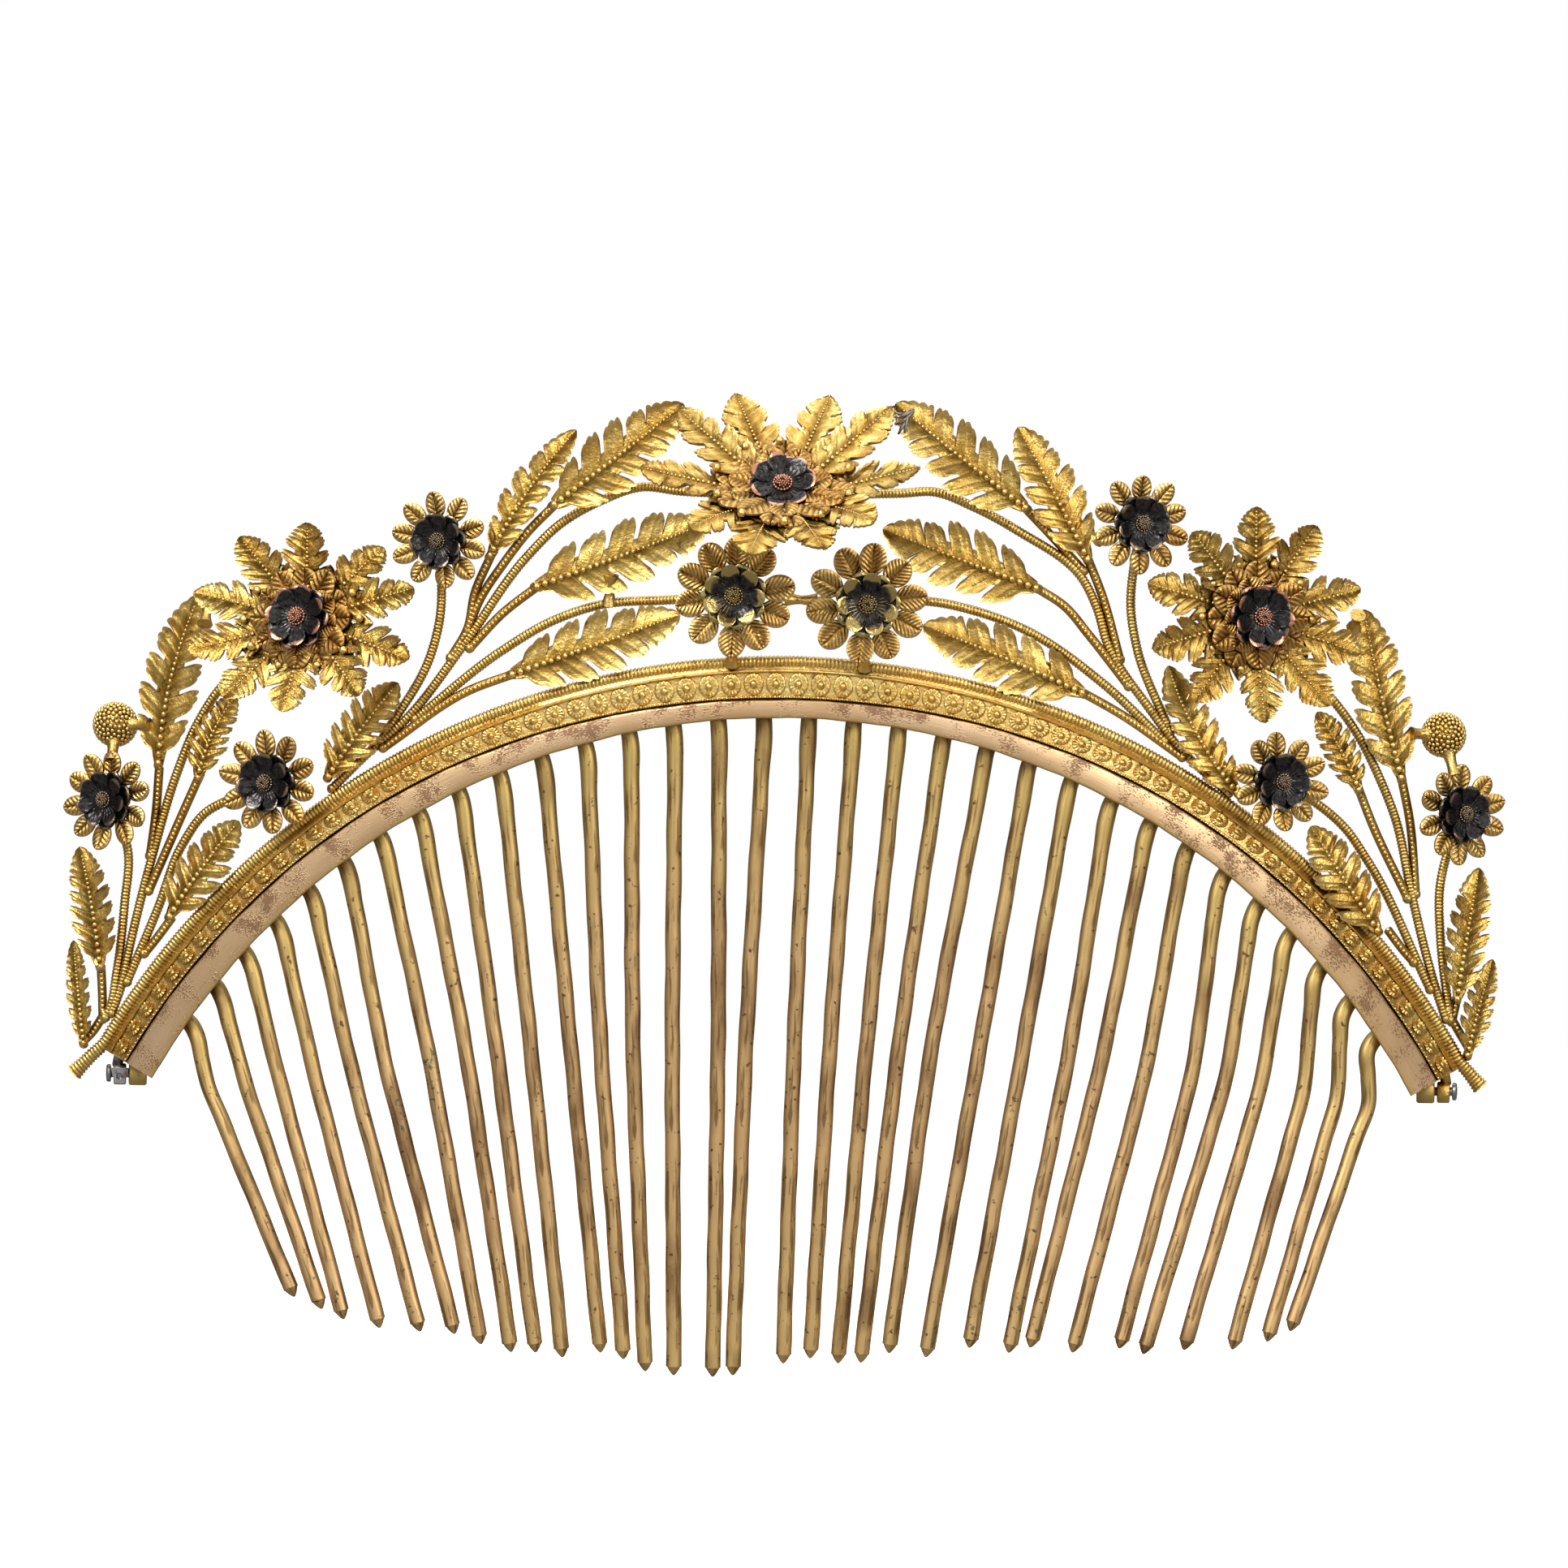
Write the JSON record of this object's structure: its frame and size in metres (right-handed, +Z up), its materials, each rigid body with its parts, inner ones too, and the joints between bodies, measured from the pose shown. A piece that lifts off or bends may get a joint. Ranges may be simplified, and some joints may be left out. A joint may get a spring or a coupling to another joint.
{
  "type": "decorative hair comb",
  "caption": "Arched ornamental hair comb: wire teeth hinged under a gilt crest of lobed leaves, milled stems, granulated berries and flowers with black centres.",
  "frame": {"origin": "under the middle of the comb, level with the tip of its longest tooth; the hinge axis is 20.6 mm behind and 32.6 mm above it", "axes": "+X to the right as seen from the front, along the hinge axis; +Y to the back; +Z up, so the front faces -Y"},
  "size_m": [0.1604, 0.0453, 0.11],
  "materials": {
    "gilt": "bright gilding, browned in the recesses",
    "copper_gilt": "copper-toned gilding, striated",
    "pink_gold": "satin pinkish gilding, pitted and scratched",
    "tooth_brass": "dull worn brass wire",
    "black_patina": "black patina, worn to metal at the edges",
    "steel": "grey, lightly rusted"
  },
  "bodies": {
    "crest": {"berry_left": "gilt", "berry_right": "gilt", "blossom_end_left": "black_patina", "blossom_end_right": "black_patina", "blossom_high_left": "black_patina", "blossom_high_right": "black_patina", "blossom_large_centre": "black_patina", "blossom_large_left": "black_patina", "blossom_large_right": "black_patina", "blossom_low_left": "black_patina", "blossom_low_right": "black_patina", "blossom_middle_left": "black_patina", "blossom_middle_right": "black_patina", "hinge_lug_left": "steel", "hinge_lug_right": "gilt", "leaf_band_left": "gilt", "leaf_band_right": "gilt", "leaf_end_left": "gilt", "leaf_end_right": "gilt", "leaf_foot_left": "gilt", "leaf_foot_right": "gilt", "leaf_fork_left": "gilt", "leaf_fork_right": "gilt", "leaf_lower_left": "gilt", "leaf_lower_right": "gilt", "leaf_outer_left": "gilt", "leaf_outer_right": "gilt", "leaf_root_left": "gilt", "leaf_root_right": "gilt", "leaf_rosette_centre": "gilt", "leaf_rosette_left": "gilt", "leaf_rosette_right": "gilt", "leaf_slim_left": "gilt", "leaf_slim_right": "gilt", "leaf_top_left": "gilt", "leaf_top_right": "gilt", "leaf_upper_left": "gilt", "leaf_upper_right": "gilt", "milled_edging": "gilt", "petal_ring_centre": "copper_gilt", "petal_ring_left": "copper_gilt", "petal_ring_right": "copper_gilt", "rosette_band": "gilt", "rosette_end_left": "copper_gilt", "rosette_end_right": "copper_gilt", "rosette_high_left": "copper_gilt", "rosette_high_right": "copper_gilt", "rosette_low_left": "copper_gilt", "rosette_low_right": "copper_gilt", "rosette_middle_left": "copper_gilt", "rosette_middle_right": "copper_gilt", "stem_spray_inner_left": "gilt", "stem_spray_inner_right": "gilt", "stem_spray_outer_left": "gilt", "stem_spray_outer_right": "gilt"},
    "comb": {"comb_bar": "pink_gold", "tooth_row_left": "tooth_brass", "tooth_row_right": "tooth_brass", "hinge_pin_left": "steel", "hinge_pin_right": "steel"}
  },
  "joints": [
    {"name": "comb_hinge", "type": "hinge", "parent": "crest", "child": "comb", "pos_m": [0, 0.0206, 0.0326], "axis": [1, 0, 0], "range_deg": [0, 90]}
  ]
}
